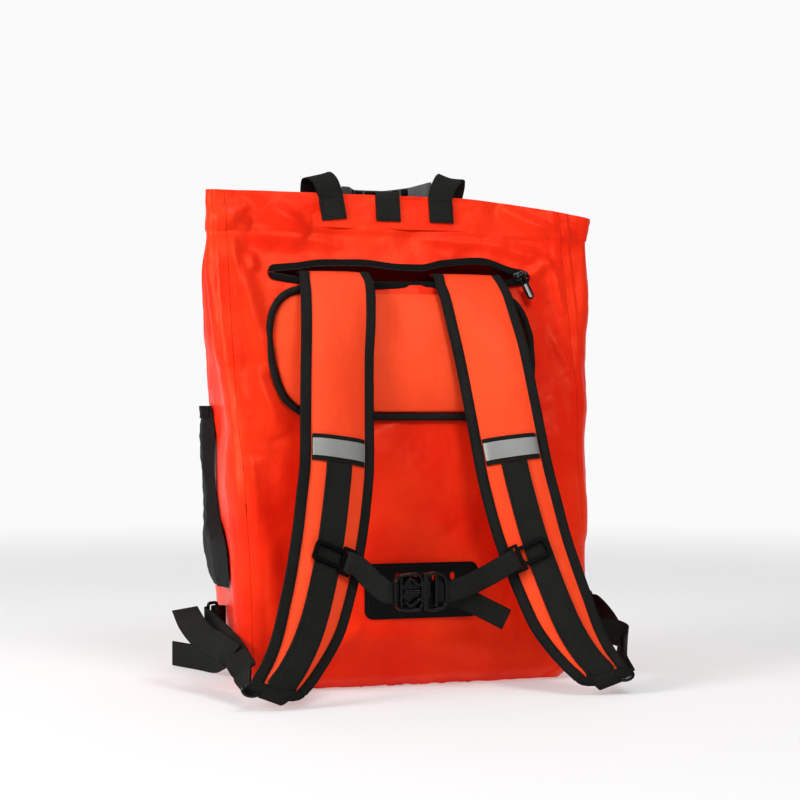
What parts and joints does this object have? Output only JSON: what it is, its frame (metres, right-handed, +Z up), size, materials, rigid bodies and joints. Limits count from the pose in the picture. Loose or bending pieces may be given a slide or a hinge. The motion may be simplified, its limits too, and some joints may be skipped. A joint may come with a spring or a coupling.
{
  "type": "messenger backpack",
  "caption": "Soft welded roll-top backpack, unrolled and standing, with a stowable padded harness, sternum strap, mesh side pocket and webbing handle.",
  "frame": {"origin": "middle of the flat base, on the surface that the bag stands on", "axes": "+Z up, -Y towards the harness side (the wearer's back), +X to the right when looking at the harness"},
  "size_m": [0.4382, 0.3106, 0.501],
  "materials": {
    "shell_cloth": "satin coated cloth",
    "strap_cloth": "satin coated cloth over foam",
    "liner_cloth": "matte",
    "zip_tape": "woven with moulded teeth",
    "zip_metal": "satin",
    "patch_rubber": "fine grain",
    "handle_rubber": "matte",
    "reflective_strip": "satin reflective",
    "steel_pin": "bright",
    "hard_plastic": "gloss",
    "pocket_mesh": "open mesh",
    "webbing": "woven"
  },
  "bodies": {
    "bag": {"back_panel": "shell_cloth", "front_panel": "shell_cloth", "side_panel_left": "shell_cloth", "side_panel_right": "shell_cloth", "base_panel": "shell_cloth", "stow_liner": "liner_cloth", "zip_tape_upper": "zip_tape", "zip_tape_lower": "zip_tape", "zip_slider": "zip_metal", "back_pad": "shell_cloth", "back_pad_piping": "webbing", "lumbar_patch": "patch_rubber", "tab_patch": "shell_cloth", "mouth_tab_left": "webbing", "mouth_tab_centre": "webbing", "mouth_tab_right": "webbing", "handle_grip": "handle_rubber", "shoulder_strap_left": "strap_cloth", "strap_binding_outer_left": "webbing", "strap_binding_inner_left": "webbing", "strap_crossband_left": "webbing", "strap_reflector_left": "reflective_strip", "strap_webbing_left": "webbing", "strap_end_cap_left": "webbing", "anchor_tab_left": "webbing", "anchor_ring_left": "hard_plastic", "ladder_lock_left": "hard_plastic", "lower_webbing_left": "webbing", "shoulder_strap_right": "strap_cloth", "strap_binding_outer_right": "webbing", "strap_binding_inner_right": "webbing", "strap_crossband_right": "webbing", "strap_reflector_right": "reflective_strip", "strap_webbing_right": "webbing", "strap_end_cap_right": "webbing", "anchor_tab_right": "webbing", "anchor_ring_right": "hard_plastic", "ladder_lock_right": "hard_plastic", "lower_webbing_right": "webbing", "buckle_female": "hard_plastic", "buckle_male": "hard_plastic", "sternum_glide_left": "hard_plastic", "sternum_pin_left": "steel_pin", "sternum_glide_right": "hard_plastic", "sternum_pin_right": "steel_pin", "sternum_webbing_left": "webbing", "sternum_webbing_right": "webbing", "sternum_tail": "webbing", "loose_tail_left": "webbing", "floor_tail_left": "webbing", "loose_tail_right": "webbing", "mesh_pocket": "pocket_mesh", "pocket_hem": "pocket_mesh"},
    "zip_pull": {"zip_pull": "zip_metal"}
  },
  "joints": [
    {"name": "zip_pull_swing", "type": "hinge", "parent": "bag", "child": "zip_pull", "pos_m": [0.122, -0.04456, 0.39633], "axis": [-0.9397, -0.097, -0.328], "range_deg": [0, 150]}
  ]
}
